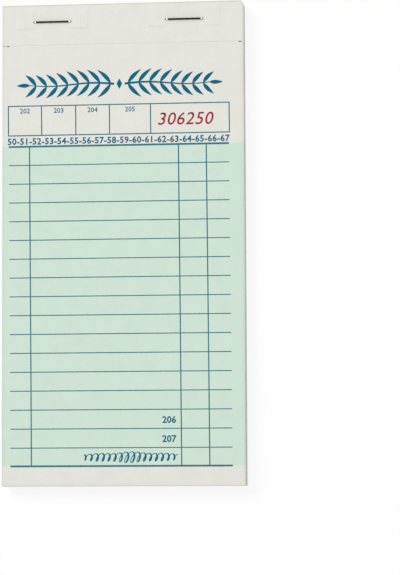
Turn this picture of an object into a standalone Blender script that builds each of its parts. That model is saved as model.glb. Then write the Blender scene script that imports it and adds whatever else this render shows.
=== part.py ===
"""A guest check pad: numbered paper checks on their stubs, wire-stapled to a chipboard back.

The pad lies on its back with the print up. X runs across the checks, +Y points to the stapled
end and +Z out of the print. The origin is the centre of the board's underside.
"""

import math

import bmesh
import bpy
from mathutils import Matrix, Vector

# Sheets and board, in metres
PAD_WIDTH = 0.0864
PAD_LENGTH = 0.1715
STUB_LENGTH = 0.0145
CHECK_COUNT = 50
PAPER_THICKNESS = 0.00008
PAPER_GAP = 0.00004
PERFORATION_GAP = 0.0003
BOARD_THICKNESS = 0.001

# The fold line of a check lies this far above its upper face
FOLD_LIFT = 0.00003

# Staples
WIRE_DIAMETER = 0.0006
CROWN_WIDTH = 0.0136
CLINCH_LENGTH = 0.0045
INNER_BEND_RADIUS = 0.00005
STAPLE_INSET_FROM_TOP = 0.0062
LEFT_STAPLE_INSET = 0.0181
RIGHT_STAPLE_INSET = 0.0210

# Clearances round the wire
CROWN_SEAT_GAP = 0.00003
LEG_CLEARANCE = 0.0001
POCKET_CLEARANCE = 0.00008
CLINCH_RECESS = 0.00005
CUTTER_OVERRUN = 0.001

# Resolution of round shapes
LEG_HOLE_SIDES = 24
BEND_SEGMENTS = 6
WIRE_BEVEL_RESOLUTION = 4

# Worked out from the sizes above
PAPER_PITCH = PAPER_THICKNESS + PAPER_GAP
PERFORATION_Y = PAD_LENGTH / 2 - STUB_LENGTH
CHECK_LENGTH = PAD_LENGTH - STUB_LENGTH - PERFORATION_GAP / 2
STACK_BOTTOM_Z = BOARD_THICKNESS + PAPER_GAP
STACK_TOP_Z = STACK_BOTTOM_Z + CHECK_COUNT * PAPER_PITCH - PAPER_GAP
STAPLE_Y = PAD_LENGTH / 2 - STAPLE_INSET_FROM_TOP
STAPLE_X = {
    "left": LEFT_STAPLE_INSET - PAD_WIDTH / 2,
    "right": PAD_WIDTH / 2 - RIGHT_STAPLE_INSET,
}
WIRE_RADIUS = WIRE_DIAMETER / 2
LEG_OFFSET = CROWN_WIDTH / 2 - WIRE_RADIUS
BEND_RADIUS = WIRE_RADIUS + INNER_BEND_RADIUS
CROWN_Z = STACK_TOP_Z + CROWN_SEAT_GAP + WIRE_RADIUS
CLINCH_Z = CLINCH_RECESS + WIRE_RADIUS
POCKET_ROOF_Z = CLINCH_Z + WIRE_RADIUS + POCKET_CLEARANCE


def clear_scene():
    for obj in list(bpy.data.objects):
        bpy.data.objects.remove(obj, do_unlink=True)


def new_collection(name):
    collection = bpy.data.collections.new(name)
    bpy.context.scene.collection.children.link(collection)
    return collection


def new_material(name, colour, roughness, metallic=0.0):
    material = bpy.data.materials.new(name)
    material.use_nodes = True
    shader = material.node_tree.nodes["Principled BSDF"]
    shader.inputs["Base Color"].default_value = (*colour, 1.0)
    shader.inputs["Roughness"].default_value = roughness
    shader.inputs["Metallic"].default_value = metallic
    return material


def box_mesh(name, low, high):
    """A block between two corners, in its object's own space."""
    low, high = Vector(low), Vector(high)
    place = Matrix.Translation((low + high) / 2) @ Matrix.Diagonal((*(high - low), 1.0))
    bm = bmesh.new()
    bmesh.ops.create_cube(bm, size=1.0, matrix=place)
    mesh = bpy.data.meshes.new(name)
    bm.to_mesh(mesh)
    bm.free()
    return mesh


def rod_mesh(name, radius, low_z, high_z):
    """An upright round rod on its object's Z axis."""
    bm = bmesh.new()
    bmesh.ops.create_cone(
        bm,
        cap_ends=True,
        segments=LEG_HOLE_SIDES,
        radius1=radius,
        radius2=radius,
        depth=high_z - low_z,
        matrix=Matrix.Translation((0, 0, (low_z + high_z) / 2)),
    )
    mesh = bpy.data.meshes.new(name)
    bm.to_mesh(mesh)
    bm.free()
    return mesh


def add_object(name, data, collection, material=None, location=(0, 0, 0), parent=None):
    """A new object at a place in the world, under its parent if it has one."""
    obj = bpy.data.objects.new(name, data)
    collection.objects.link(obj)
    obj.location = location
    if material:
        data.materials.append(material)
    if parent:
        bpy.context.view_layer.update()
        obj.parent = parent
        obj.matrix_parent_inverse = parent.matrix_world.inverted()
    return obj


def add_cutter(name, mesh, collection, location):
    cutter = add_object(name, mesh, collection, location=location)
    cutter.hide_render = True
    cutter.display_type = "WIRE"
    return cutter


def cut(obj, cutters):
    for cutter in cutters:
        modifier = obj.modifiers.new(cutter.name, "BOOLEAN")
        modifier.operation = "DIFFERENCE"
        modifier.solver = "EXACT"
        modifier.object = cutter


def sheet_top_z(number):
    """Upper face of a leaf. Leaf 1 is the top one."""
    return STACK_TOP_Z - (number - 1) * PAPER_PITCH


def add_leg_cutters(collection):
    """A round hole for each leg, through all the stubs and down into the board's pockets."""
    hole_radius = WIRE_RADIUS + LEG_CLEARANCE
    mesh = rod_mesh("leg_hole", hole_radius, CLINCH_Z, STACK_TOP_Z + CUTTER_OVERRUN)
    return [
        add_cutter(f"leg_hole_{side}_{end}", mesh, collection, (x + way * LEG_OFFSET, STAPLE_Y, 0))
        for side, x in STAPLE_X.items()
        for end, way in (("a", -1), ("b", 1))
    ]


def add_pocket_cutters(collection):
    """A pocket in the board's underside for each clinched leg, which runs inwards."""
    outer = WIRE_RADIUS + LEG_CLEARANCE
    inner = CLINCH_LENGTH + POCKET_CLEARANCE
    cutters = []
    for side, x in STAPLE_X.items():
        for end, way in (("a", -1), ("b", 1)):
            low_x, high_x = sorted((way * outer, -way * inner))
            low = (low_x, -outer, -CUTTER_OVERRUN)
            high = (high_x, outer, POCKET_ROOF_Z)
            mesh = box_mesh("clinch_pocket", low, high)
            place = (x + way * LEG_OFFSET, STAPLE_Y, 0)
            cutters.append(add_cutter(f"clinch_pocket_{side}_{end}", mesh, collection, place))
    return cutters


def add_board(collection, material, cutters):
    low = (-PAD_WIDTH / 2, -PAD_LENGTH / 2, 0)
    high = (PAD_WIDTH / 2, PAD_LENGTH / 2, BOARD_THICKNESS)
    mesh = box_mesh("backing_board", low, high)
    board = add_object("backing_board", mesh, collection, material)
    cut(board, cutters)
    return board


def add_stub_block(collection, material, cutters, parent):
    """The stubs of all the leaves, pressed together under the staples."""
    low = (-PAD_WIDTH / 2, PERFORATION_Y + PERFORATION_GAP / 2, STACK_BOTTOM_Z)
    high = (PAD_WIDTH / 2, PAD_LENGTH / 2, STACK_TOP_Z)
    mesh = box_mesh("stub_block", low, high)
    block = add_object("stub_block", mesh, collection, material, parent=parent)
    cut(block, cutters)


def arc(centre_x, centre_z, start_angle):
    """Points of a quarter bend of the wire, turning clockwise from its start angle."""
    for step in range(BEND_SEGMENTS + 1):
        angle = start_angle - math.pi / 2 * step / BEND_SEGMENTS
        yield centre_x + BEND_RADIUS * math.cos(angle), centre_z + BEND_RADIUS * math.sin(angle)


def staple_path():
    """The wire's centre line from one clinched end, up, along the crown and down to the other."""
    bend_x = LEG_OFFSET - BEND_RADIUS
    low_bend_z = CLINCH_Z + BEND_RADIUS
    high_bend_z = CROWN_Z - BEND_RADIUS
    tip_x = LEG_OFFSET - CLINCH_LENGTH
    path = [(-tip_x, CLINCH_Z)]
    path += arc(-bend_x, low_bend_z, -math.pi / 2)
    path += arc(-bend_x, high_bend_z, math.pi)
    path += arc(bend_x, high_bend_z, math.pi / 2)
    path += arc(bend_x, low_bend_z, 0)
    path.append((tip_x, CLINCH_Z))
    return path


def add_staple(side, x, collection, material, parent):
    curve = bpy.data.curves.new(f"staple_{side}", "CURVE")
    curve.dimensions = "3D"
    curve.bevel_depth = WIRE_RADIUS
    curve.bevel_resolution = WIRE_BEVEL_RESOLUTION
    curve.use_fill_caps = True
    path = staple_path()
    spline = curve.splines.new("POLY")
    spline.points.add(len(path) - 1)
    for point, (along, up) in zip(spline.points, path):
        point.co = (along, 0, up, 1)
    add_object(f"staple_{side}", curve, collection, material, (x, STAPLE_Y, 0), parent)


def add_checks(collection, material, board):
    """One sheet per check, its origin on its fold line at the perforation.

    The top check turns on the second, and all the others turn on the pad itself.
    """
    near_y = -PERFORATION_GAP / 2
    low = (-PAD_WIDTH / 2, near_y - CHECK_LENGTH, -FOLD_LIFT - PAPER_THICKNESS)
    high = (PAD_WIDTH / 2, near_y, -FOLD_LIFT)
    mesh = box_mesh("check", low, high)
    mesh.materials.append(material)
    parent = board
    for number in range(CHECK_COUNT, 0, -1):
        place = (0, PERFORATION_Y, sheet_top_z(number) + FOLD_LIFT)
        check = add_object(f"check_{number:02d}", mesh, collection, None, place, parent)
        if number == 2:
            parent = check


def main():
    clear_scene()
    parts = new_collection("guest_check_pad")
    cutters = new_collection("cutters")
    check_paper = new_material("check_paper", (0.60, 0.75, 0.64), 0.85)
    stub_paper = new_material("stub_paper", (0.76, 0.76, 0.72), 0.85)
    chipboard = new_material("chipboard", (0.36, 0.32, 0.27), 0.95)
    staple_wire = new_material("staple_wire", (0.30, 0.29, 0.27), 0.35, 1.0)

    leg_holes = add_leg_cutters(cutters)
    pockets = add_pocket_cutters(cutters)
    board = add_board(parts, chipboard, leg_holes + pockets)
    add_stub_block(parts, stub_paper, leg_holes, board)
    for side, x in STAPLE_X.items():
        add_staple(side, x, parts, staple_wire, board)
    add_checks(parts, check_paper, board)


main()
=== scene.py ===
"""Looks of a guest check pad: printed checks and their stubs, stapled to a chipboard back.

The pad lies on its back on a pale floor. Sizes are in metres. Places on the print are in
millimetres from the leaf's left and top edges, as on a printer's layout.
"""

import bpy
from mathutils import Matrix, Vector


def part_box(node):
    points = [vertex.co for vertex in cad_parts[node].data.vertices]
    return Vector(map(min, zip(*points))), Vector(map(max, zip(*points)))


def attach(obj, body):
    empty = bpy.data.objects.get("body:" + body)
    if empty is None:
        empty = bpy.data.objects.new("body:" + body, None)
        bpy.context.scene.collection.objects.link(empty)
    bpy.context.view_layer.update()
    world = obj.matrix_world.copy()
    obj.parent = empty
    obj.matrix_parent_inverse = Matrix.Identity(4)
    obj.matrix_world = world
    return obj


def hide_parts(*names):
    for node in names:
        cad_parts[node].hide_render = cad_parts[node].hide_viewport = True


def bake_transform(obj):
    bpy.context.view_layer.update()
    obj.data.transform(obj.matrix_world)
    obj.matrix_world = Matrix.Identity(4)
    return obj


bl_info = {
    "name": "Guest check pad",
    "version": (1, 0, 0),
    "blender": (4, 5, 0),
    "location": "View3D > Sidebar > Check pad",
    "description": "Builds a stapled pad of printed checks around its fixed frame",
    "category": "Add Mesh",
}

import math
import random
from functools import reduce

import bmesh
import bpy
from bmesh.types import BMEdge, BMFace, BMVert
from bpy.props import FloatProperty, FloatVectorProperty, IntProperty, PointerProperty
from bpy.types import Operator, Panel, PropertyGroup
from mathutils import Matrix, Vector

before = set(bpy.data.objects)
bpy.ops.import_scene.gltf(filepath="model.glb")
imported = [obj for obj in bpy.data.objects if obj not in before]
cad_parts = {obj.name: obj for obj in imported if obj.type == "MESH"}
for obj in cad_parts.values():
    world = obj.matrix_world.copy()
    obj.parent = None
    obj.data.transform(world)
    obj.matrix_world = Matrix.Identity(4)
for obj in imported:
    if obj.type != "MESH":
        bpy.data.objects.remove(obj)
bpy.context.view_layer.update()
MM = 0.001

# Sizes that the frame gives
BOARD_LOW, BOARD_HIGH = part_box("backing_board")
STUB_LOW, STUB_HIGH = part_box("stub_block")
TOP_CHECK_LOW, TOP_CHECK_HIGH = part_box("check_01")
CHECK_NODES = sorted(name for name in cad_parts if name.startswith("check_"))
PAD_WIDTH = BOARD_HIGH.x - BOARD_LOW.x
PAD_LENGTH = BOARD_HIGH.y - BOARD_LOW.y
BOARD_THICKNESS = BOARD_HIGH.z - BOARD_LOW.z
PAPER = TOP_CHECK_HIGH.z - TOP_CHECK_LOW.z
FOLD_Y = (STUB_LOW.y + TOP_CHECK_HIGH.y) / 2
CHECK_LENGTH = FOLD_Y - BOARD_LOW.y
STACK_TOP = STUB_HIGH.z
STAPLE_BOXES = {side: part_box(f"staple_{side}") for side in ("left", "right")}
STAPLE_MIDDLES = [(low + high) / 2 for low, high in STAPLE_BOXES.values()]
WIRE = STAPLE_BOXES["left"][1].y - STAPLE_BOXES["left"][0].y
LEG_REACH = (STAPLE_BOXES["left"][1].x - STAPLE_BOXES["left"][0].x - WIRE) / 2

# Each leg of the staples seen from above, and the way that leads outwards along the crown there
LEGS = [(middle.x + way * LEG_REACH, middle.y, way) for middle in STAPLE_MIDDLES for way in (-1, 1)]

# Layout of the print, in millimetres from the leaf's left and top edges
HEADING_LEFT = 5.2
HEADING_RIGHT = 80.0
HEADING_MIDDLE = (HEADING_LEFT + HEADING_RIGHT) / 2
HEADING_Y = 28.9
BOX_TOP = 36.3
BOX_BOTTOM = 46.9
BOX_UPRIGHTS = (2.6, 14.55, 26.85, 38.95, 53.65, 81.65)
BOX_FIGURE_Y = 38.05
SERIAL_PLACE = (66.2, 41.75)
LABEL_PLACE = (42.0, 49.0)
TABLE_LEFT = 2.64
TABLE_RIGHT = 81.42
TABLE_TOP = 50.87
TABLE_BOTTOM = 164.34
TABLE_UPRIGHTS = (10.13, 63.46, 73.36)
PANEL_TOP = 50.7
PANEL_BOTTOM = 164.3
FIRST_RULE = 57.55
RULE_PITCH = 6.692
RULE_COUNT = 16
SUM_FIGURE_X = 59.2
FLOURISH_LEFT = 28.5
FLOURISH_RIGHT = 62.0
FLOURISH_Y = 161.3

# The sums' figures stand under these rules, so far down a row as a share
SUM_RULES = (14, 15)
SUM_DROP = 0.54

# The row of labels, and the first of the figures in the box and beside the sums
LABELS = "-".join(map(str, range(50, 68)))
FIRST_FIGURE = 202

# The print runs a little askew: for each millimetre below this height it lies so much further right
PRINT_SLANT = 0.0071
PRINT_TRUE_Y = 96.0

# Line widths, figure heights and figure weights of the print, and how far its lines waver, in millimetres
THIN_RULE = 0.36
UPRIGHT_RULE = 0.44
BOX_RULE = 0.42
HEAVY_RULE = 0.68
SERIAL_HEIGHT = 4.45
LABEL_HEIGHT = 2.4
BOX_FIGURE_HEIGHT = 1.8
SUM_FIGURE_HEIGHT = 2.5
LIGHT_WEIGHT = 0.035
BOLD_WEIGHT = 0.090
LINE_WAVER = 0.05

# Share of the type's size that a figure is high, and the styles of the labels and the serial number
FIGURE_SHARE = 0.70
LABEL_STYLE = {"weight": BOLD_WEIGHT, "spacing": 1.06}
SERIAL_STYLE = {"weight": 0.04, "slant": 0.22, "spacing": 1.07, "roundness": 4}

# The sprigs of the heading: millimetres, degrees from the stem, and shares of the stem
SPRIG_GAP = 1.9
SPRIG_SWAY = 0.5
SPRIG_PAIRS = 8
FIRST_PAIR = 0.3
STEM_WIDTHS = (0.8, 0.3)
BLADE_LENGTHS = (7.0, 5.4)
BLADE_TURNS = (58, 30)
BLADE_BREADTH = 1.35
BLADE_POINT = 0.1
BLADE_FULLNESS = 0.8
TIP_BLADE = 4.8
TIP_BLADE_START = 0.985
DIAMOND_REACH = 1.8
DIAMOND_WIDTHS = (0.1, 2.0, 0.1)

# The flourish: its loops in millimetres, their share of height at its ends, and how they wave
FLOURISH_LOOPS = 16
FLOURISH_RISE = 1.95
FLOURISH_SWING = 1.0
FLOURISH_SLOPE = 0.35
FLOURISH_WIDTHS = (0.28, 0.68)
FLOURISH_ENDS = 0.5
FLOURISH_EBB = 0.25
FLOURISH_WAVES = 2.5

# Ink lies on the paper as a film, partly sunk in, and thicker by a step where strokes cross
INK_SUNK = 0.000004
INK_PROUD = 0.000012
INK_STEP = 0.000002

# Painted shade along the edges of a leaf: its colour, how far in it runs in millimetres, and how dark it is
EDGE_SHADE_COLOUR = (0.10, 0.10, 0.11)
RIM_START = 0.12
RIM_END = 0.48
MARGIN = 1.6
SIDE_RIM_SHADE = 0.09
END_RIM_SHADE = 0.24
MARGIN_SHADE = 0.05

# Paper from dull to bright as shares of its colour, and what shows through to the back of a check
PAPER_DULL = 0.95
PAPER_BRIGHT = 1.045
PANEL_THROUGH = 0.22
LINES_THROUGH = 0.07

# How fibres and drawn lines are stretched, and the directions that fibres lie in, in radians
PAPER_FIBRE = (0.5, 6.0, 6.0)
BOARD_FIBRE = (0.6, 4.0, 4.0)
DRAWN_LINE = (0.3, 14.0, 14.0)
FIBRE_TURNS = (0.3, 1.35, 2.4)

# Depth of the fine relief on paper, board and wire
PAPER_RELIEF = 0.00002
BOARD_RELIEF = 0.00008
WIRE_RELIEF = 0.00001

# The painted highlight on a staple's shoulders, in millimetres from the leg, and in wires over the stubs
GLINT_FADE = 0.7
GLINT_FULL = 0.45
GLINT_LOW = 0.45
GLINT_HIGH = 0.8

# Sockets of a mix node that take two colours and give one
FIRST_COLOUR, SECOND_COLOUR, MIXED_COLOUR = 6, 7, 2

# Material places on a printed check
FACE, BACK, FORM_INK, RULE_INK, SERIAL_INK = range(5)

# Places on the map for baked colours: left, bottom, width and height, and the shift of the ink's upper side
INK_PATCH = (0.676, 0.49, 0.312, 0.496)
FACE_PATCH = (0.006, 0.006, 0.648, 0.988)
BACK_PATCH = (0.672, 0.006, 0.322, 0.40)
END_PATCH = (0.672, 0.42, 0.322, 0.02)
SIDE_PATCH = (0.672, 0.45, 0.322, 0.02)
INK_SHIFT = 0.004

# Mesh resolution
SHEET_COLUMNS = 9
FOLD_ROWS = 20
SHEET_ROWS = 60
SLITS_PER_COLUMN = 6
STUB_COLUMNS = 324
STUB_ROWS = 54
STEM_STEPS = 14
BLADE_STEPS = 8
LOOP_STEPS = 14
CORNER_STEPS = 6
WEAR_STEPS = 3
BEND_STEPS = 10
WIRE_RESOLUTION = 6
LEG_HOLE_SIDES = 20

# Edges that turn by more are sharp, on round pieces and on flat ones, or are worn, in degrees
ROUND_ANGLE = 35
FLAT_ANGLE = 20
SQUARE_ANGLE = 60

# Places that lie this near are one, and a test of place reaches past an edge by this factor
MERGE = 0.000001
PAST_EDGE = 1.01

# A check at the perforation: its close rows in bend lengths, its crease, and its room to the stub
CLOSE_ROWS = 1.15
CREASE_REACH = 0.0005
LOWER_CREASE = 0.25
STUB_CLEARANCE = 0.00001
STUB_FOOT_Y = FOLD_Y + STUB_CLEARANCE

# The lift of a check: where it starts along the check, its share at the left corner, and how it dies down
LIFT_START = 0.45
LIFT_LEFT = 0.3
LIFT_FALL = 1.5

# The top stub: how far the staples draw it down, its slopes to the edges, and how soft a foot is at the leg
DRAW_REACH = 0.0024
SIDE_SLOPE = 0.006
TOP_SLOPE = 0.002
FOLD_SLOPE = 0.004
LEG_SOFTNESS = 3

# A cut stub and the groove over it, from lower to upper edge, as shares of the sheets' pitch
CUT_EDGE = (0.02, 0.68)
GROOVE = (0.70, 1.0)

# The staples: room in their holes, the grooves under the board, and the pinched tips of the wire
LEG_CLEARANCE = 0.0001
CLINCH_GROOVE = (1.5 * WIRE, 2.5 * WIRE)
CLINCH_ROUNDING = 0.3 * WIRE
TIP_LENGTH = 0.0004
TIP_SHARE = 0.6

# The floor, and where the camera starts to see
FLOOR_REACH = 4.0
FLOOR_CELLS = 4
FLOOR_DROP = 0.00005
NEAREST = 0.01

# Seeds of the small differences between the checks and between the stubs
CHECK_SEED = 5
STUB_SEED = 11

# Map names
LEAF_MAP = "leaf"
BAKE_MAP = "OFBake"


def smooth_step(value):
    value = min(max(value, 0.0), 1.0)
    return value * value * (3 - 2 * value)


def between(first, last, share):
    """A number on the way from one to another."""
    return first + (last - first) * share


def setting(kind, name, description, default, **options):
    """A property that a user may change."""
    return kind(name=name, description=description, default=default, **options)


def size_setting(*words_and_default):
    return setting(FloatProperty, *words_and_default, unit="LENGTH")


def colour_setting(*words_and_default):
    return setting(FloatVectorProperty, *words_and_default, subtype="COLOR")


def place_setting(*words_and_default):
    return setting(FloatVectorProperty, *words_and_default, subtype="TRANSLATION")


class LeafSettings(PropertyGroup):
    """Sizes of the paper checks."""

    corner_lift: size_setting("Corner lift", "How far the free corner of the top check stands up", 0.0008)
    lifted_checks: setting(
        IntProperty, "Lifted checks", "How many checks lift, each less than the one above it", 16
    )
    trim_lean: size_setting("Trim lean", "How much shorter the lowest check is cut than the top one", 0.0001)
    side_play: size_setting("Side play", "How far a check may lie to one side", 0.00005)
    slit_width: size_setting("Slit width", "Width of a closed slit of the perforation", 0.000014)
    open_slit_width: size_setting("Open slit width", "Width of the slits torn open at the edges", 0.0003)
    slit_stretch: size_setting("Slit stretch", "How far a slit's end runs into the tie beside it", 0.00013)
    head_slant: size_setting(
        "Head slant", "How far the upper edge of a check slants back, to turn clear of the stub", 0.000012
    )
    crease: size_setting("Crease", "How far the paper is pressed down on both sides of its slits", 0.00006)
    bend_length: size_setting("Bend length", "Length of paper that bends when a check is turned", 0.008)
    first_number: setting(IntProperty, "First number", "Serial number of the top check", 306250)


class InkSettings(PropertyGroup):
    """Colours of the paper and of the print."""

    paper: colour_setting("Paper", "Colour of the bare paper", (0.775, 0.775, 0.716))
    panel: colour_setting("Panel", "Tint behind the ruled rows", (0.630, 0.772, 0.670))
    form: colour_setting("Form ink", "Colour of sprigs, small figures and flourish", (0.001, 0.130, 0.225))
    rule: colour_setting("Rule ink", "Colour of ruled lines and of the sums' figures", (0.001, 0.140, 0.198))
    serial: colour_setting("Serial ink", "Colour of the serial number", (0.36, 0.018, 0.047))


class StubSettings(PropertyGroup):
    """Sizes of the pressed stack of stubs."""

    pillow: size_setting("Pillow", "How far the paper stands up between the staples", 0.0001)
    foot_rise: size_setting("Foot rise", "Height of the mark that a foot of the stapling head left", 0.0003)
    foot_length: size_setting("Foot length", "Length of a foot's mark, outwards from the leg", 0.0063)
    foot_drop: size_setting("Foot drop", "How far a foot's mark reaches below the staple", 0.0025)
    foot_edge: size_setting("Foot edge", "Width of the slope round a foot's mark", 0.0007)
    bumped_corner: size_setting("Bumped corner", "Rounding of the pad's upper right corner", 0.0013)
    groove: size_setting("Groove", "Depth of the grooves between the cut edges of the stubs", 0.00004)


class BoardSettings(PropertyGroup):
    """Size and colour of the chipboard back."""

    edge_wear: size_setting("Edge wear", "Rounding of the board's edges", 0.00014)
    colour: colour_setting("Chipboard", "Colour of the chipboard", (0.34, 0.29, 0.225))


class StapleSettings(PropertyGroup):
    """Sizes and colours of the staples."""

    clinch_length: size_setting("Clinch length", "Length of wire folded in behind the board", 0.0045)
    bend_radius: size_setting("Bend radius", "Radius of the wire's bends, at its middle", 0.0005)
    # Near black: a painted reflection of the dark surroundings that the steel reflects
    colour: colour_setting("Wire", "Colour of the drawn steel wire", (0.020, 0.0195, 0.0185))
    flank: colour_setting("Wire flank", "Tint of what the wire's flanks reflect", (0.12, 0.12, 0.12))
    # Painted highlight: the colour of the glint on the wire's shoulders
    rubbed: colour_setting("Rubbed wire", "Colour of the shoulders rubbed bright", (0.95, 0.94, 0.92))


class StageSettings(PropertyGroup):
    """Floor, light and camera."""

    floor: colour_setting("Floor", "Colour of the floor", (0.97, 0.97, 0.97))
    sky_light: setting(FloatProperty, "Sky light", "Strength of the even light from all round", 0.61)
    floor_glow: setting(
        FloatProperty, "Floor glow", "How far the camera sees the floor whitened", 0.85, subtype="FACTOR"
    )
    lamp_size: size_setting("Lamp size", "Width of the soft lamps", 1.1)
    key_power: setting(
        FloatProperty, "Key power", "Power of the soft lamp at the upper left", 27.0, unit="POWER"
    )
    key_place: place_setting("Key place", "Where the lamp at the upper left stands", (-1.1, 1.0, 2.0))
    fill_power: setting(
        FloatProperty, "Fill power", "Power of the low soft lamp at the right", 6.5, unit="POWER"
    )
    fill_place: place_setting("Fill place", "Where the low lamp at the right stands", (1.6, -0.3, 0.35))
    eye: place_setting("Eye", "Where the camera stands", (0.11529, -0.07745, 0.8444))
    aim: place_setting("Aim", "Point at the middle of the picture", (0.02740, -0.01610, 0.0070))
    roll: setting(
        FloatProperty, "Roll", "Turn about the line of sight", math.radians(-0.26), subtype="ANGLE"
    )
    lens: setting(FloatProperty, "Lens", "Focal length for a picture 36 mm on its long side", 150.26)


class Shade:
    """The nodes of a material or a sky in the making, added and linked by plain calls."""

    def __init__(self, owner, surface="Principled BSDF"):
        owner.use_nodes = True
        self.owner = owner
        self.tree = owner.node_tree
        self.surface = self.tree.nodes[surface]

    def feed(self, node, sockets):
        """Links a node's sockets to other ones, or sets them to plain values."""
        for name, value in sockets.items():
            socket = node.inputs[name]
            if isinstance(value, bpy.types.NodeSocket):
                self.tree.links.new(value, socket)
            elif socket.type == "RGBA":
                socket.default_value = (*value, 1.0)
            else:
                socket.default_value = value

    def node(self, kind, sockets=(), **settings):
        made = self.tree.nodes.new("ShaderNode" + kind)
        for name, value in settings.items():
            setattr(made, name, value)
        self.feed(made, dict(sockets))
        return made

    def math(self, operation, *values):
        return self.node("Math", enumerate(values), operation=operation).outputs[0]

    def chain(self, operation, values):
        """One math node after another over a row of values."""
        return reduce(lambda a, b: self.math(operation, a, b), values)

    def both(self, *values):
        return self.chain("MULTIPLY", values)

    def either(self, *values):
        return self.chain("MAXIMUM", values)

    def total(self, *values):
        return self.chain("ADD", values)

    def least(self, *values):
        return self.chain("MINIMUM", values)

    def less(self, value, amount):
        return self.math("SUBTRACT", value, amount)

    def within(self, value, low, high):
        """1 where a value lies between two limits, 0 elsewhere."""
        return self.math("COMPARE", value, (low + high) / 2, (high - low) / 2)

    def lines(self, value, width, *middles):
        """1 on any of some lines of one width, 0 elsewhere."""
        return self.either(*(self.math("COMPARE", value, middle, width / 2) for middle in middles))

    def span(self, value, low, high, to_low=0.0, to_high=1.0):
        return self.node("MapRange", enumerate((value, low, high, to_low, to_high))).outputs[0]

    def from_to(self, share, first, last):
        """A number that runs from one value to another as a share goes from 0 to 1."""
        return self.span(share, 0.0, 1.0, first, last)

    def mix(self, share, first, second):
        sockets = {"Factor": share, FIRST_COLOUR: first, SECOND_COLOUR: second}
        return self.node("Mix", sockets, data_type="RGBA").outputs[MIXED_COLOUR]

    def noise(self, place, per_mm, detail=2.0):
        sockets = {"Vector": place, "Scale": per_mm, "Detail": detail}
        return self.node("TexNoise", sockets).outputs["Fac"]

    def stretched(self, place, scale, turn=0.0):
        """A place turned and then drawn out along one direction, for fibres and drawn wire."""
        sockets = {"Vector": place, "Rotation": (0.0, 0.0, turn), "Scale": [1 / part for part in scale]}
        return self.node("Mapping", sockets, vector_type="TEXTURE").outputs["Vector"]

    def fibres(self, place, scale, per_mm, detail=2.0):
        """Noise drawn out into fibres, once for each direction that they lie in."""
        return [self.noise(self.stretched(place, scale, turn), per_mm, detail) for turn in FIBRE_TURNS]

    def object_place(self):
        """The place on the piece in millimetres."""
        return self.stretched(self.node("TexCoord").outputs["Object"], (1 / MM, 1 / MM, 1 / MM))

    def leaf_place(self):
        """The place on the leaf in millimetres, which goes with the paper when it bends."""
        return self.node("UVMap", uv_map=LEAF_MAP).outputs["UV"]

    def stub_place(self):
        """The place on the leaf in millimetres, for a stub, which never bends."""
        sockets = {
            "Vector": self.node("TexCoord").outputs["Object"],
            "Location": (-BOARD_LOW.x / MM, BOARD_HIGH.y / MM, 0.0),
            "Scale": (1 / MM, -1 / MM, 1 / MM),
        }
        return self.node("Mapping", sockets, vector_type="POINT").outputs["Vector"]

    def split(self, place):
        return tuple(self.node("SeparateXYZ", {0: place}).outputs)

    def bump(self, height, strength, depth):
        made = self.node("Bump", {"Height": height, "Strength": strength, "Distance": depth})
        self.feed(self.surface, {"Normal": made.outputs["Normal"]})

    def finish(self, colour, roughness, specular=0.3, metallic=0.0):
        self.feed(self.surface, {"Base Color": colour, "Roughness": roughness})
        self.feed(self.surface, {"Specular IOR Level": specular, "Metallic": metallic})
        return self.owner


def new_shade(name):
    return Shade(bpy.data.materials.new(name))


def tinted(colour, share):
    return tuple(min(1.0, part * share) for part in colour)


def paper_tone(shade, place, relief):
    """Cloudy pulp with fine fibres that stand out a little: its tone from dull to bright."""
    clouds = shade.noise(place, per_mm=0.16, detail=3.0)
    grain = shade.noise(place, per_mm=2.6)
    felt = shade.total(grain, *shade.fibres(place, PAPER_FIBRE, per_mm=0.9))
    pulp = shade.total(shade.both(clouds, 0.4), shade.both(felt, 0.3))
    shade.bump(felt, relief, PAPER_RELIEF)
    return shade.span(pulp, 0.55, 1.05)


def paper_colour(shade, tone, colour):
    return shade.mix(tone, tinted(colour, PAPER_DULL), tinted(colour, PAPER_BRIGHT))


def handled(shade, place, colour):
    """Darkens a colour along the leaf's edges and in a margin within them: painted edge shade."""
    x, y, _ = shade.split(place)
    from_side = shade.least(x, shade.less(PAD_WIDTH / MM, x))
    from_end = shade.least(y, shade.less(PAD_LENGTH / MM, y))
    sides = shade.span(from_side, RIM_START, RIM_END, SIDE_RIM_SHADE, 0.0)
    ends = shade.span(from_end, RIM_START, RIM_END, END_RIM_SHADE, 0.0)
    inwards = shade.least(from_side, from_end)
    rim = shade.both(shade.either(sides, ends), shade.math("GREATER_THAN", inwards, RIM_START))
    margin = shade.span(inwards, 0.0, MARGIN, MARGIN_SHADE, 0.0)
    # The rim and the margin darken the colour as painted shade, more at the leaf's ends than at its sides
    return shade.mix(shade.total(rim, margin), colour, EDGE_SHADE_COLOUR)


def rule_place(number):
    """How far down the leaf a ruled line of the table lies, counted from 1."""
    return FIRST_RULE + (number - 1) * RULE_PITCH


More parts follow.
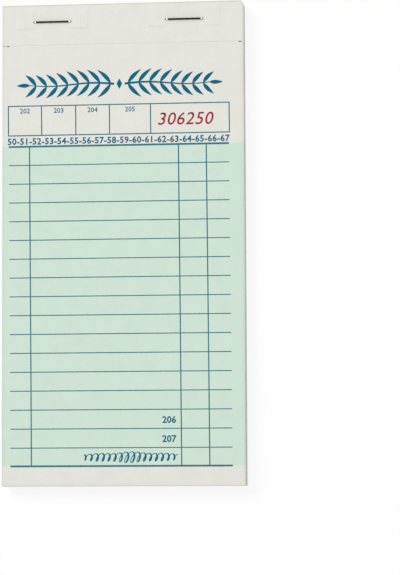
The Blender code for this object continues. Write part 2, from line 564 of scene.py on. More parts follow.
def print_marks(shade, place):
    """Where the tinted panel lies and where the ruled lines run, from 0 to 1."""
    waver = shade.from_to(shade.noise(place, per_mm=1.1), -LINE_WAVER, LINE_WAVER)
    x, y, _ = shade.split(place)
    askew = shade.both(shade.less(y, PRINT_TRUE_Y), PRINT_SLANT)
    x = shade.total(shade.less(x, askew), waver)
    y = shade.total(y, waver)
    panel = shade.within(y, PANEL_TOP, PANEL_BOTTOM)

    outer = BOX_RULE / 2
    box_wide = shade.within(x, BOX_UPRIGHTS[0] - outer, BOX_UPRIGHTS[-1] + outer)
    box_high = shade.within(y, BOX_TOP - outer, BOX_BOTTOM + outer)
    box_rules = shade.lines(y, BOX_RULE, BOX_TOP, BOX_BOTTOM)
    box_uprights = shade.lines(x, BOX_RULE, *BOX_UPRIGHTS)
    box = shade.both(shade.either(box_rules, box_uprights), box_wide, box_high)

    heavy_rules = shade.lines(y, HEAVY_RULE, TABLE_TOP, TABLE_BOTTOM)
    ruled = shade.within(y, rule_place(0.5), rule_place(RULE_COUNT + 0.5))
    from_rule = shade.math("WRAP", shade.less(y, FIRST_RULE), RULE_PITCH / 2, -RULE_PITCH / 2)
    row_rules = shade.both(shade.lines(from_rule, THIN_RULE, 0.0), ruled)
    rules = shade.both(shade.either(heavy_rules, row_rules), shade.within(x, TABLE_LEFT, TABLE_RIGHT))
    uprights = shade.lines(x, UPRIGHT_RULE, *TABLE_UPRIGHTS)
    uprights = shade.both(uprights, shade.within(y, TABLE_TOP, TABLE_BOTTOM))
    return panel, shade.either(box, rules, uprights)


def check_face_material(inks):
    """Paper with a tinted panel and ruled lines in ink that took unevenly."""
    shade = new_shade("printed_check_face")
    place = shade.leaf_place()
    tone = paper_tone(shade, place, relief=0.30)
    panel, lines = print_marks(shade, place)
    ink = shade.both(lines, shade.span(shade.noise(place, per_mm=3.2, detail=3.0), 0.3, 0.6, 0.82, 1.0))
    paper = paper_colour(shade, tone, inks.paper)
    tint = paper_colour(shade, tone, inks.panel)
    # Painted shade along the leaf's edges
    ground = handled(shade, place, shade.mix(panel, paper, tint))
    roughness = shade.from_to(ink, 0.80, 0.66)
    return shade.finish(shade.mix(ink, ground, inks.rule), roughness, specular=0.15)


def check_back_material(inks):
    """The blank back of a check, with a trace of the print showing through."""
    shade = new_shade("check_back")
    place = shade.leaf_place()
    tone = paper_tone(shade, place, relief=0.35)
    panel, lines = print_marks(shade, place)
    paper = paper_colour(shade, tone, inks.paper)
    tint = shade.mix(shade.both(panel, PANEL_THROUGH), paper, inks.panel)
    # Painted shade along the leaf's edges
    ground = handled(shade, place, tint)
    colour = shade.mix(shade.both(lines, LINES_THROUGH), ground, inks.rule)
    return shade.finish(colour, shade.from_to(tone, 0.86, 0.80))


def ink_material(name, colour):
    """Printing ink that took a little unevenly on the paper."""
    shade = new_shade(name)
    take = shade.span(shade.noise(shade.leaf_place(), per_mm=2.4, detail=3.0), 0.3, 0.7)
    paler = tuple(0.96 * part + 0.004 for part in colour)
    return shade.finish(shade.mix(take, paler, colour), shade.from_to(take, 0.72, 0.62), specular=0.05)


def stub_material(inks):
    """Bare paper on the stubs, with painted shade along their edges."""
    shade = new_shade("stub_paper_bare")
    place = shade.stub_place()
    tone = paper_tone(shade, place, relief=0.30)
    colour = handled(shade, place, paper_colour(shade, tone, inks.paper))
    return shade.finish(colour, shade.from_to(tone, 0.86, 0.78))


def chipboard_material(colour):
    """Pressed waste pulp: cloudy, with dark flecks and pale fibres."""
    shade = new_shade("chipboard_pulp")
    place = shade.object_place()
    clouds = shade.noise(place, per_mm=0.25, detail=4.0)
    fibres = shade.either(*shade.fibres(place, BOARD_FIBRE, per_mm=0.9, detail=3.0))
    flecks = shade.span(shade.noise(place, per_mm=1.7), 0.66, 0.72)
    pulp = shade.mix(clouds, tinted(colour, 0.86), tinted(colour, 1.12))
    pulp = shade.mix(shade.span(fibres, 0.60, 0.78, 0.0, 0.55), pulp, tinted(colour, 1.45))
    pulp = shade.mix(shade.both(flecks, 0.6), pulp, tinted(colour, 0.45))
    shade.bump(fibres, strength=0.5, depth=BOARD_RELIEF)
    return shade.finish(pulp, shade.span(fibres, 0.3, 0.7, 0.95, 0.82), specular=0.2)


def wire_material(staple):
    """Drawn steel, painted near black for the dark surroundings it reflects, with faint lines along it, a
    few dull spots, and a painted highlight on the shoulders.
    """
    shade = new_shade("drawn_steel")
    place = shade.object_place()
    drawn = shade.noise(shade.stretched(place, DRAWN_LINE), per_mm=1.0)
    dull = shade.span(shade.noise(place, per_mm=1.1, detail=3.0), 0.5, 0.7)
    bright = shade.mix(drawn, tinted(staple.colour, 0.8), tinted(staple.colour, 1.35))
    steel = shade.mix(shade.both(dull, 0.5), bright, tinted(staple.colour, 0.6))
    across, _, up = shade.split(place)
    # Painted highlight on the shoulders, near each leg and high on the wire where it bends over
    from_leg = shade.least(*(shade.math("ABSOLUTE", shade.less(across, x / MM)) for x, _, _ in LEGS))
    on_top = shade.span(up, (STACK_TOP + GLINT_LOW * WIRE) / MM, (STACK_TOP + GLINT_HIGH * WIRE) / MM)
    rubbed = shade.both(shade.span(from_leg, GLINT_FADE, GLINT_FULL), on_top)
    shade.bump(drawn, strength=0.25, depth=WIRE_RELIEF)
    shade.feed(shade.surface, {"Specular Tint": staple.flank})
    steel = shade.mix(rubbed, steel, staple.rubbed)
    return shade.finish(steel, shade.from_to(dull, 0.26, 0.42), specular=0.5, metallic=1.0)


def only(kind, made):
    """The points, edges or faces among what an operation has made."""
    return [item for item in made if isinstance(item, kind)]


def extrude(bm, edges, verts):
    """Pulls faces out of edges. Gives the new points, in the order of the old ones, and all that is new."""
    made = bmesh.ops.extrude_edge_only(bm, edges=edges)["geom"]
    places = [vert.co.copy() for vert in verts]
    fresh = only(BMVert, made)
    fresh.sort(key=lambda vert: min(range(len(places)), key=lambda at: (vert.co - places[at]).length))
    return fresh, made


def smooth_mesh(mesh, sharp):
    """Shades a mesh smooth but for the edges that turn by more than an angle."""
    mesh.shade_smooth()
    mesh.set_sharp_from_angle(angle=math.radians(sharp))


def mesh_from(name, bm):
    mesh = bpy.data.meshes.new(name)
    bm.to_mesh(mesh)
    bm.free()
    return mesh


def add_mesh(bm, mesh):
    """Moves a mesh into one that is being built."""
    bm.from_mesh(mesh)
    bpy.data.meshes.remove(mesh)


def piece_from(name, bm, *materials):
    """A finished piece at the origin, its place in its mesh."""
    mesh = mesh_from(name, bm)
    for material in materials:
        mesh.materials.append(material)
    smooth_mesh(mesh, ROUND_ANGLE)
    piece = bpy.data.objects.new(name, mesh)
    bpy.context.scene.collection.objects.link(piece)
    return piece


def mesh_of(curve):
    """The mesh of a curve or of figures, which leave the scene again."""
    holder = bpy.data.objects.new(curve.name, curve)
    bpy.context.scene.collection.objects.link(holder)
    evaluated = holder.evaluated_get(bpy.context.evaluated_depsgraph_get())
    mesh = bpy.data.meshes.new_from_object(evaluated)
    bpy.data.objects.remove(holder)
    bpy.data.curves.remove(curve)
    return mesh


def cut_away(piece, cutters):
    """Cuts shapes out of a piece and removes them from the scene."""
    for cutter in cutters:
        modifier = piece.modifiers.new(cutter.name, "BOOLEAN")
        modifier.operation = "DIFFERENCE"
        modifier.solver = "EXACT"
        modifier.object = cutter
    evaluated = piece.evaluated_get(bpy.context.evaluated_depsgraph_get())
    mesh = bpy.data.meshes.new_from_object(evaluated)
    piece.modifiers.clear()
    smooth_mesh(mesh, FLAT_ANGLE)
    piece.data = mesh
    for cutter in cutters:
        bpy.data.objects.remove(cutter)


def on_leaf(across, down, height=0.0):
    """A place on the print as a point over the leaf's upper face."""
    across += PRINT_SLANT * (down - PRINT_TRUE_Y)
    return Vector((BOARD_LOW.x + across * MM, BOARD_HIGH.y - down * MM, height))


def add_stroke(bm, centres, widths):
    """A flat stroke of a broad pen along a line of points."""
    edge = None
    for number, (centre, width) in enumerate(zip(centres, widths)):
        before = centres[max(number - 1, 0)]
        after = centres[min(number + 1, len(centres) - 1)]
        along = (after - before).normalized()
        half = Vector((-along.y, along.x, 0.0)) * (width * MM / 2)
        ends = (centre + half, centre - half)
        if edge is None:
            verts = [bm.verts.new(end) for end in ends]
            edge = bm.edges.new(verts)
            continue
        verts, made = extrude(bm, [edge], verts)
        for vert, end in zip(verts, ends):
            vert.co = end
        edge = next(item for item in only(BMEdge, made) if set(item.verts) == set(verts))
        for face in only(BMFace, made):
            face.material_index = FORM_INK


def add_figures(bm, words, middle, height, ink, weight=LIGHT_WEIGHT, slant=0.0, spacing=1.0, roundness=2):
    """Figures in the built-in type, centred on a place of the print, as a film of ink with thin edges."""
    curve = bpy.data.curves.new("figures", "FONT")
    curve.body = words
    curve.align_x = "CENTER"
    curve.size = (height - 2 * weight) * MM / FIGURE_SHARE
    curve.shear = slant
    curve.space_character = spacing
    curve.resolution_u = roundness
    curve.bevel_depth = weight * MM
    curve.bevel_resolution = 0
    mesh = mesh_of(curve)
    low = Vector(map(min, *(vert.co for vert in mesh.vertices)))
    high = Vector(map(max, *(vert.co for vert in mesh.vertices)))
    film = INK_SUNK + INK_PROUD
    flatten = Matrix.Diagonal((1.0, 1.0, film / (high.z - low.z), 1.0))
    place = Matrix.Translation(on_leaf(*middle, INK_PROUD - film / 2))
    mesh.transform(place @ flatten @ Matrix.Translation(-(low + high) / 2))
    for polygon in mesh.polygons:
        polygon.material_index = ink
    add_mesh(bm, mesh)


def stem_place(way, share):
    """A place on a sprig's stem, from its foot near the middle of the heading to its tip."""
    foot = HEADING_MIDDLE + way * SPRIG_GAP
    tip = HEADING_RIGHT - TIP_BLADE if way > 0 else HEADING_LEFT + TIP_BLADE
    return between(foot, tip, share), HEADING_Y - SPRIG_SWAY * math.sin(math.tau * share)


def add_blade(bm, base, way, side, length):
    """One pointed blade, which bends towards the tip of its stem."""
    across, down = base
    centres = []
    widths = []
    for step in range(BLADE_STEPS + 1):
        share = step / BLADE_STEPS
        turn = math.radians(between(*BLADE_TURNS, share)) * side
        centres.append(on_leaf(across, down, INK_STEP * max(side, 0)))
        widths.append(BLADE_POINT + BLADE_BREADTH * math.sin(math.pi * share**BLADE_FULLNESS))
        across += way * math.cos(turn) * length / BLADE_STEPS
        down -= math.sin(turn) * length / BLADE_STEPS
    add_stroke(bm, centres, widths)


def add_sprig(bm, way):
    """A stem with paired blades on one side of the heading."""
    shares = [step / STEM_STEPS for step in range(STEM_STEPS + 1)]
    centres = [on_leaf(*stem_place(way, share), 2 * INK_STEP) for share in shares]
    add_stroke(bm, centres, [between(*STEM_WIDTHS, share) for share in shares])
    for pair in range(SPRIG_PAIRS):
        share = (pair + FIRST_PAIR) / SPRIG_PAIRS
        for side in (-1, 1):
            add_blade(bm, stem_place(way, share), way, side, between(*BLADE_LENGTHS, share))
    add_blade(bm, stem_place(way, TIP_BLADE_START), way, 0, TIP_BLADE)


def add_flourish(bm):
    """A looped pen flourish in the last row, broad on the down strokes, which lie over the others."""
    steps = FLOURISH_LOOPS * LOOP_STEPS
    centres = []
    widths = []
    for step in range(steps + 1):
        share = step / steps
        turn = math.tau * FLOURISH_LOOPS * share
        wave = 1 - FLOURISH_EBB + FLOURISH_EBB * math.sin(math.tau * FLOURISH_WAVES * share)
        swell = between(FLOURISH_ENDS, 1.0, math.sin(math.pi * share) * wave)
        rise = FLOURISH_RISE * swell * math.cos(turn)
        across = between(FLOURISH_LEFT, FLOURISH_RIGHT, share)
        across += FLOURISH_SWING * swell * math.sin(turn) + FLOURISH_SLOPE * rise
        centres.append(on_leaf(across, FLOURISH_Y - rise, INK_STEP * (2 + 2 * math.sin(turn))))
        widths.append(between(*FLOURISH_WIDTHS, max(0.0, math.sin(turn))))
    add_stroke(bm, centres, widths)


def form_print():
    """The raised print that all checks share: sprigs, small figures and the flourish."""
    bm = bmesh.new()
    for way in (-1, 1):
        add_sprig(bm, way)
    diamond = [on_leaf(HEADING_MIDDLE, HEADING_Y + way * DIAMOND_REACH) for way in (-1, 0, 1)]
    add_stroke(bm, diamond, DIAMOND_WIDTHS)
    add_flourish(bm)
    bmesh.ops.translate(bm, vec=(0.0, 0.0, INK_PROUD), verts=bm.verts)
    bm.normal_update()
    bmesh.ops.reverse_faces(bm, faces=[face for face in bm.faces if face.normal.z < 0])
    bmesh.ops.solidify(bm, geom=bm.faces[:], thickness=INK_SUNK + INK_PROUD)

    add_figures(bm, LABELS, LABEL_PLACE, LABEL_HEIGHT, FORM_INK, **LABEL_STYLE)
    cells = list(zip(BOX_UPRIGHTS, BOX_UPRIGHTS[1:]))[:-1]
    for number, (left, right) in enumerate(cells, FIRST_FIGURE):
        add_figures(bm, str(number), ((left + right) / 2, BOX_FIGURE_Y), BOX_FIGURE_HEIGHT, FORM_INK)
    for number, rule in enumerate(SUM_RULES, FIRST_FIGURE + len(cells)):
        place = (SUM_FIGURE_X, rule_place(rule + SUM_DROP))
        add_figures(bm, str(number), place, SUM_FIGURE_HEIGHT, RULE_INK, BOLD_WEIGHT)
    return mesh_from("form_print", bm)


def row_place(leaf, share, length):
    """How far below the perforation a row of the sheet lies. Rows are close where the paper bends."""
    fold = FOLD_ROWS / SHEET_ROWS
    close = CLOSE_ROWS * leaf.bend_length
    if share < fold:
        return close * share / fold
    return close + (length - close) * (share - fold) / (1 - fold)


def edges_above(bm, height):
    return [edge for edge in bm.edges if all(vert.co.y > height for vert in edge.verts)]


def add_sheet(bm, leaf, length):
    """A sheet whose upper edge is a row of slits with paper ties between them."""
    bmesh.ops.create_grid(bm, x_segments=SHEET_COLUMNS, y_segments=SHEET_ROWS, size=0.5)
    border = edges_above(bm, 0.5 - MERGE)
    bmesh.ops.subdivide_edges(bm, edges=border, cuts=2 * SLITS_PER_COLUMN - 1)
    last = 2 * SLITS_PER_COLUMN * SHEET_COLUMNS
    for vert in bm.verts:
        down = 0.5 - vert.co.y
        number = round((0.5 + vert.co.x) * last)
        vert.co.x *= PAD_WIDTH
        if down < MERGE and 0 < number < last:
            vert.co.x += leaf.slit_stretch * (1 if number % 2 else -1)
        vert.co.y = FOLD_Y - leaf.slit_width - row_place(leaf, down, length - leaf.slit_width)
    border = edges_above(bm, FOLD_Y - leaf.slit_width * PAST_EDGE)
    border.sort(key=lambda edge: edge.verts[0].co.x + edge.verts[1].co.x)
    slits = border[0::2]
    ties = only(BMVert, bmesh.ops.extrude_edge_only(bm, edges=border[1::2])["geom"])
    bmesh.ops.translate(bm, vec=(0.0, leaf.slit_width, 0.0), verts=ties)
    for slit in (slits[0], slits[1], slits[-1]):
        for vert in slit.verts:
            vert.co.y = FOLD_Y - leaf.open_slit_width
    bmesh.ops.recalc_face_normals(bm, faces=bm.faces)
    if next(iter(bm.faces)).normal.z < 0:
        bmesh.ops.reverse_faces(bm, faces=bm.faces)
    bmesh.ops.solidify(bm, geom=bm.faces[:], thickness=PAPER)
    bm.normal_update()
    for face in bm.faces:
        face.material_index = FACE if face.normal.z > 0.5 else BACK
    head_y = FOLD_Y - leaf.open_slit_width * PAST_EDGE
    head = [vert for vert in bm.verts if vert.co.y > head_y and vert.co.z > -PAPER / 2]
    bmesh.ops.translate(bm, vec=(0.0, -leaf.head_slant, 0.0), verts=head)


def bake_spot(face, place):
    """The place on the map for baked colours, where each side of a check and its ink have a patch."""
    across = (place.x - BOARD_LOW.x) / PAD_WIDTH
    along = (place.y - BOARD_LOW.y) / CHECK_LENGTH
    depth = -place.z / PAPER
    shift = 0.0
    if face.material_index > BACK:
        patch, first, second = INK_PATCH, across, along
        shift = INK_SHIFT * (place.z > 0)
    elif face.material_index == FACE:
        patch, first, second = FACE_PATCH, across, along
    elif face.normal.z < -0.5:
        patch, first, second = BACK_PATCH, across, along
    elif abs(face.normal.y) > abs(face.normal.x):
        patch, first, second = END_PATCH, across, depth
    else:
        patch, first, second = SIDE_PATCH, along, depth
    left, bottom, width, height = patch
    return left + width * first + shift, bottom + height * second + shift


def map_leaf(bm):
    """Gives a check its map in millimetres and its map for baked colours."""
    leaf_map = bm.loops.layers.uv.new(LEAF_MAP)
    bake_map = bm.loops.layers.uv.new(BAKE_MAP)
    for face in bm.faces:
        for loop in face.loops:
            place = loop.vert.co
            loop[leaf_map].uv = ((place.x - BOARD_LOW.x) / MM, (BOARD_HIGH.y - place.y) / MM)
            loop[bake_map].uv = bake_spot(face, place)


def crease(leaf, place, height):
    """How far the paper is pressed down beside the perforation: its upper face more than its lower one."""
    depth = leaf.crease * (1.0 if height > -PAPER / 2 else LOWER_CREASE)
    return depth * smooth_step(1 - abs(place.y - FOLD_Y) / CREASE_REACH)


def lift(leaf, number, place):
    """How far a check stands up at a place: most at the free corner, less further down the pad."""
    along = (FOLD_Y - place.y) / CHECK_LENGTH
    across = (place.x - BOARD_LOW.x) / PAD_WIDTH
    share = max(0.0, 1 - (number - 1) / leaf.lifted_checks) ** LIFT_FALL
    curl = smooth_step((along - LIFT_START) / (1 - LIFT_START)) ** 2
    return leaf.corner_lift * share * curl * between(LIFT_LEFT, 1.0, across**2)


class CHECKPAD_OT_checks(Operator):
    """Adds the printed checks, each creased at its perforation and lifted towards its free corner"""

    bl_idname = "checkpad.checks"
    bl_label = "Add checks"

    def execute(self, context):
        leaf = context.scene.check_leaf
        inks = context.scene.check_inks
        materials = (
            check_face_material(inks),
            check_back_material(inks),
            ink_material("form_ink", inks.form),
            ink_material("rule_ink", inks.rule),
            ink_material("serial_ink", inks.serial),
        )
        form = form_print()
        play = random.Random(CHECK_SEED)
        for number, node in enumerate(CHECK_NODES, 1):
            upper_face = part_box(node)[1].z
            trim = leaf.trim_lean * (number - 1) / len(CHECK_NODES)
            sideways = 0.0
            if number > 1:
                trim += play.uniform(0.0, leaf.side_play)
                sideways = play.uniform(-leaf.side_play, leaf.side_play)
            bm = bmesh.new()
            add_sheet(bm, leaf, CHECK_LENGTH - trim)
            bm.from_mesh(form)
            serial = str(leaf.first_number + number - 1)
            add_figures(bm, serial, SERIAL_PLACE, SERIAL_HEIGHT, SERIAL_INK, **SERIAL_STYLE)
            bmesh.ops.remove_doubles(bm, verts=bm.verts, dist=MERGE)
            map_leaf(bm)
            for vert in bm.verts:
                vert.co.z += lift(leaf, number, vert.co) - crease(leaf, vert.co, vert.co.z) + upper_face
                vert.co.x += sideways
            piece = piece_from(f"printed_{node}", bm, *materials)
            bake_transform(piece)
            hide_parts(node)
        bpy.data.meshes.remove(form)
        return {"FINISHED"}


def ramp(inwards, width):
    """Rises from 0 to 1 over some width about an edge."""
    return smooth_step(0.5 + inwards / width)


def stub_rise(stub, place):
    """Height of the top stub over its flat: drawn down at the crowns, raised where the feet stood."""
    rise = stub.pillow
    feet = 0.0
    outer = LEG_REACH + stub.foot_length
    for middle in STAPLE_MIDDLES:
        beside = abs(place.x - middle.x)
        apart = math.hypot(max(beside - LEG_REACH, 0.0), place.y - middle.y)
        rise *= 1 - math.exp(-((apart / DRAW_REACH) ** 2))
        wide = ramp(beside - LEG_REACH, LEG_SOFTNESS * stub.foot_edge) * ramp(outer - beside, stub.foot_edge)
        feet += wide * ramp(place.y - middle.y + stub.foot_drop, stub.foot_edge)
    to_side = (PAD_WIDTH / 2 - abs(place.x)) / SIDE_SLOPE
    to_top = (BOARD_HIGH.y - place.y) / TOP_SLOPE
    to_fold = (place.y - FOLD_Y) / FOLD_SLOPE
    rise *= smooth_step(to_side) * smooth_step(to_fold)
    return smooth_step(to_top) * (rise + stub.foot_rise * feet)


def stub_outline(stub):
    """Corners of the stubs seen from above, each with the way out of it: three sharp, one bumped."""
    outline = [
        (Vector((BOARD_LOW.x, BOARD_HIGH.y)), Vector((-1.0, 1.0))),
        (Vector((BOARD_LOW.x, STUB_FOOT_Y)), Vector((-1.0, -1.0))),
        (Vector((BOARD_HIGH.x, STUB_FOOT_Y)), Vector((1.0, -1.0))),
    ]
    centre = Vector((BOARD_HIGH.x, BOARD_HIGH.y)) - Vector((stub.bumped_corner, stub.bumped_corner))
    for step in range(CORNER_STEPS + 1):
        angle = math.pi / 2 * step / CORNER_STEPS
        outwards = Vector((math.cos(angle), math.sin(angle)))
        outline.append((centre + outwards * stub.bumped_corner, outwards))
    return outline


def add_stub_edges(bm, stub, layers):
    """The stack of stubs under the top one, as one block grooved between its cut sheets."""
    play = random.Random(STUB_SEED)
    outline = stub_outline(stub)
    low_z = STUB_LOW.z
    pitch = (STUB_HIGH.z - low_z - PAPER) / layers
    verts = [bm.verts.new((*corner, low_z)) for corner, _ in outline]
    edges = list(bm.faces.new(verts).edges)
    for layer in range(layers):
        bottom = low_z + layer * pitch
        trim = play.uniform(0.0, stub.groove)
        rings = [(share, trim) for share in CUT_EDGE] + [(share, stub.groove + trim) for share in GROOVE]
        if layer + 1 == layers:
            rings.pop()
        for share, inset in rings:
            verts, made = extrude(bm, edges, verts)
            for vert, (corner, outwards) in zip(verts, outline):
                vert.co = (*(corner - outwards * inset), bottom + share * pitch)
            edges = [edge for edge in only(BMEdge, made) if edge.is_boundary]
    bmesh.ops.edgeloop_fill(bm, edges=edges)


def round_corner(vert, stub):
    """Draws a point of the top stub in where the upper right corner is bumped round."""
    across = (vert.co.x - BOARD_HIGH.x) / stub.bumped_corner + 1
    up = (vert.co.y - BOARD_HIGH.y) / stub.bumped_corner + 1
    if across > 0 and up > 0:
        share = max(across, up) / math.hypot(across, up)
        vert.co.x = BOARD_HIGH.x + (across * share - 1) * stub.bumped_corner
        vert.co.y = BOARD_HIGH.y + (up * share - 1) * stub.bumped_corner


def add_top_stub(bm, stub, leaf):
    """The top stub, a sheet that is pressed down by the staples and at the perforation."""
    sheet = bmesh.new()
    bmesh.ops.create_grid(sheet, x_segments=STUB_COLUMNS, y_segments=STUB_ROWS, size=0.5)
    for vert in sheet.verts:
        vert.co.x *= PAD_WIDTH
        vert.co.y = between(STUB_FOOT_Y, BOARD_HIGH.y, vert.co.y + 0.5)
        vert.co.z = STACK_TOP + stub_rise(stub, vert.co)
        round_corner(vert, stub)
    bmesh.ops.solidify(sheet, geom=sheet.faces[:], thickness=PAPER)
    for vert in sheet.verts:
        vert.co.z -= crease(leaf, vert.co, vert.co.z - STACK_TOP)
    add_mesh(bm, mesh_from("top_stub", sheet))


def leg_cutters():
    """A rod for each staple leg, from under the board to over the stubs."""
    cutters = []
    for x, y, _ in LEGS:
        bm = bmesh.new()
        bmesh.ops.create_cone(
            bm,
            cap_ends=True,
            segments=LEG_HOLE_SIDES,
            radius1=WIRE / 2 + LEG_CLEARANCE,
            radius2=WIRE / 2 + LEG_CLEARANCE,
            depth=2 * STACK_TOP,
            matrix=Matrix.Translation((x, y, STACK_TOP + WIRE / 2)),
        )
        cutters.append(piece_from("leg_hole", bm))
    return cutters


class CHECKPAD_OT_stubs(Operator):
    bl_idname = "checkpad.stubs"
    bl_label = "Add stubs"

    def execute(self, context):
        stub = context.scene.check_stub
        bm = bmesh.new()
        add_stub_edges(bm, stub, len(CHECK_NODES) - 1)
        add_top_stub(bm, stub, context.scene.check_leaf)
        bmesh.ops.recalc_face_normals(bm, faces=bm.faces)
        piece = piece_from("stapled_stubs", bm, stub_material(context.scene.check_inks))
        cut_away(piece, leg_cutters())
        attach(piece, "pad")
        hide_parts("stub_block")
        return {"FINISHED"}


def bevel(bm, edges, width, segments):
    bmesh.ops.bevel(
        bm,
        geom=edges,
        offset=width,
        offset_type="OFFSET",
        affect="EDGES",
        segments=segments,
        profile=0.5,
        material=-1,
    )


def pocket_cutters(clinch):
    """The rounded grooves that the clinched legs have pressed into the board."""
    cutters = []
    reach = clinch + WIRE
    size = Matrix.Diagonal((reach, *CLINCH_GROOVE, 1.0))
    for x, y, way in LEGS:
        bm = bmesh.new()
        place = Matrix.Translation((x + way * (WIRE - reach / 2), y, BOARD_LOW.z))
        bmesh.ops.create_cube(bm, matrix=place @ size)
        bevel(bm, bm.edges[:], CLINCH_ROUNDING, WEAR_STEPS)
        cutters.append(piece_from("clinch_groove", bm))
    return cutters


class CHECKPAD_OT_board(Operator):
    """Adds the chipboard back, its edges worn and its underside pressed by the staples"""

    bl_idname = "checkpad.board"
    bl_label = "Add board"

    def execute(self, context):
        board = context.scene.check_board
        middle = (BOARD_LOW + BOARD_HIGH) / 2
        size = Matrix.Diagonal((PAD_WIDTH, PAD_LENGTH, BOARD_THICKNESS, 1.0))
        bm = bmesh.new()
        bmesh.ops.create_cube(bm, matrix=Matrix.Translation(middle) @ size)
        corner = [edge for edge in bm.edges if all(vert.co.x > 0 and vert.co.y > 0 for vert in edge.verts)]
        bevel(bm, corner, context.scene.check_stub.bumped_corner, CORNER_STEPS)
        bm.normal_update()
        sharp = [edge for edge in bm.edges if edge.calc_face_angle() > math.radians(SQUARE_ANGLE)]
        bevel(bm, sharp, board.edge_wear, WEAR_STEPS)
        piece = piece_from("chipboard_back", bm, chipboard_material(board.colour))
        cut_away(piece, leg_cutters() + pocket_cutters(context.scene.check_staple.clinch_length))
        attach(piece, "pad")
        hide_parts("backing_board")
        return {"FINISHED"}


def staple_line(low, high, radius, staple):
    """The wire's middle line: in from one tip, up a leg, along the crown, down and in again."""
    middle = (low.x + high.x) / 2
    leg = (high.x - low.x) / 2 - radius
    bend = staple.bend_radius
    tip = leg - staple.clinch_length
    floor = low.z + radius
    crown = high.z - radius
    turns = [
        (-leg + bend, floor + bend, -0.5),
        (-leg + bend, crown - bend, 1.0),
        (leg - bend, crown - bend, 0.5),
        (leg - bend, floor + bend, 0.0),
    ]
    line = [(-tip, floor), (-tip - TIP_LENGTH, floor)]
    for across, up, start in turns:
        for step in range(BEND_STEPS + 1):
            angle = math.pi * (start - 0.5 * step / BEND_STEPS)
            line.append((across + bend * math.cos(angle), up + bend * math.sin(angle)))
    line += [(tip + TIP_LENGTH, floor), (tip, floor)]
    return [Vector((middle + across, (low.y + high.y) / 2, up)) for across, up in line]


def wire_mesh(name, line, radius):
    """A round wire along a line of points, pinched at its tips."""
    curve = bpy.data.curves.new(name, "CURVE")
    curve.dimensions = "3D"
    curve.bevel_depth = radius
    curve.bevel_resolution = WIRE_RESOLUTION
    curve.use_fill_caps = True
    spline = curve.splines.new("POLY")
    spline.points.add(len(line) - 1)
    for point, place in zip(spline.points, line):
        point.co = (*place, 1.0)
    for end in (0, -1):
        spline.points[end].radius = TIP_SHARE
    return mesh_of(curve)


class CHECKPAD_OT_staples(Operator):
    """Adds the two wire staples, clinched behind the board"""

    bl_idname = "checkpad.staples"
    bl_label = "Add staples"

    def execute(self, context):
        staple = context.scene.check_staple
        steel = wire_material(staple)
        for side, (low, high) in STAPLE_BOXES.items():
            node = f"staple_{side}"
            radius = (high.y - low.y) / 2
            bm = bmesh.new()
            add_mesh(bm, wire_mesh(node, staple_line(low, high, radius, staple), radius))
            bmesh.ops.remove_doubles(bm, verts=bm.verts, dist=MERGE)
            bmesh.ops.recalc_face_normals(bm, faces=bm.faces)
            piece = piece_from(f"wire_{node}", bm, steel)
            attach(piece, "pad")
            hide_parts(node)
        return {"FINISHED"}


def seen_directly(shade):
    """1 where the camera looks, also in a mirror or through glass, and 0 for light on other things."""
    rays = shade.node("LightPath").outputs
    return shade.either(rays["Is Camera Ray"], rays["Is Glossy Ray"], rays["Is Transmission Ray"])


def floor_material(stage):
    """A pale floor that the camera sees whiter than it lights, with the shadow left on it."""
    shade = new_shade("pale_floor")
    tone = shade.noise(shade.object_place(), per_mm=0.02)
    colour = shade.mix(tone, tinted(stage.floor, 0.995), tinted(stage.floor, 1.005))
    shade.finish(colour, roughness=0.9, specular=0.0)
    glow = shade.both(seen_directly(shade), stage.floor_glow)
    white = shade.node("Emission").outputs[0]
    blend = shade.node("MixShader", enumerate((glow, shade.surface.outputs[0], white)))
    shade.feed(shade.tree.nodes["Material Output"], {"Surface": blend.outputs[0]})
    return shade.owner


def sky_world(sky_light):
    """An even sky that the camera sees white."""
    shade = Shade(bpy.data.worlds.new("even_sky"), "Background")
    strength = shade.from_to(seen_directly(shade), sky_light, 1.0)
    shade.feed(shade.surface, {"Color": (1.0, 1.0, 1.0), "Strength": strength})
    return shade.owner


def add_lamp(name, power, size, place):
    """A soft round lamp that faces the pad."""
    light = bpy.data.lights.new(name, "AREA")
    light.shape = "DISK"
    light.size = size
    light.energy = power
    lamp = bpy.data.objects.new(name, light)
    lamp.location = place
    lamp.rotation_euler = (-lamp.location).to_track_quat("-Z", "Y").to_euler()
    bpy.context.scene.collection.objects.link(lamp)


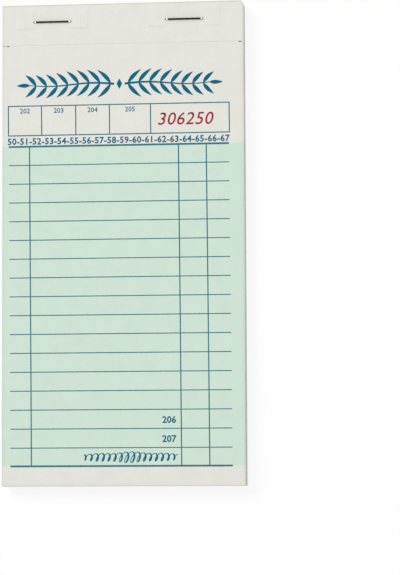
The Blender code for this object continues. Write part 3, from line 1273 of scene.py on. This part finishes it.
class CHECKPAD_OT_stage(Operator):
    """Adds the floor, the soft light and the camera"""

    bl_idname = "checkpad.stage"
    bl_label = "Add stage"

    def execute(self, context):
        stage = context.scene.check_stage
        bm = bmesh.new()
        bmesh.ops.create_grid(bm, x_segments=FLOOR_CELLS, y_segments=FLOOR_CELLS, size=FLOOR_REACH)
        bmesh.ops.translate(bm, vec=(0.0, 0.0, BOARD_LOW.z - FLOOR_DROP), verts=bm.verts)
        piece_from("floor", bm, floor_material(stage))

        context.scene.world = sky_world(stage.sky_light)
        add_lamp("key", stage.key_power, stage.lamp_size, stage.key_place)
        add_lamp("fill", stage.fill_power, stage.lamp_size, stage.fill_place)

        lens = bpy.data.cameras.new("camera")
        lens.lens = stage.lens
        lens.clip_start = NEAREST
        camera = bpy.data.objects.new("camera", lens)
        eye = Vector(stage.eye)
        sight = (Vector(stage.aim) - eye).normalized()
        right = sight.cross(Vector((0.0, 1.0, 0.0))).normalized()
        upright = Matrix((right, right.cross(sight), -sight)).transposed()
        turned = upright @ Matrix.Rotation(stage.roll, 3, "Z")
        camera.matrix_world = Matrix.Translation(eye) @ turned.to_4x4()
        context.scene.collection.objects.link(camera)
        context.scene.camera = camera
        context.scene.view_settings.view_transform = "Standard"
        return {"FINISHED"}


SETTINGS = {
    "check_leaf": LeafSettings,
    "check_inks": InkSettings,
    "check_stub": StubSettings,
    "check_board": BoardSettings,
    "check_staple": StapleSettings,
    "check_stage": StageSettings,
}
OPERATORS = (
    CHECKPAD_OT_checks,
    CHECKPAD_OT_stubs,
    CHECKPAD_OT_board,
    CHECKPAD_OT_staples,
    CHECKPAD_OT_stage,
)


class CHECKPAD_PT_panel(Panel):
    """Lists the pad's pieces and the sizes and colours that shape them"""

    bl_label = "Check pad"
    bl_idname = "CHECKPAD_PT_panel"
    bl_space_type = "VIEW_3D"
    bl_region_type = "UI"
    bl_category = "Check pad"

    def draw(self, context):
        for operator in OPERATORS:
            self.layout.operator(operator.bl_idname)
        for name, settings in SETTINGS.items():
            box = self.layout.box()
            box.label(text=settings.__doc__)
            for setting in settings.__annotations__:
                box.prop(getattr(context.scene, name), setting)


CLASSES = (*SETTINGS.values(), *OPERATORS, CHECKPAD_PT_panel)


def register():
    for item in CLASSES:
        bpy.utils.register_class(item)
    for name, settings in SETTINGS.items():
        setattr(bpy.types.Scene, name, PointerProperty(type=settings))


def unregister():
    for name in SETTINGS:
        delattr(bpy.types.Scene, name)
    for item in reversed(CLASSES):
        bpy.utils.unregister_class(item)


def main():
    register()
    bpy.ops.checkpad.checks()
    bpy.ops.checkpad.stubs()
    bpy.ops.checkpad.board()
    bpy.ops.checkpad.staples()
    bpy.ops.checkpad.stage()


if __name__ == "__main__":
    main()
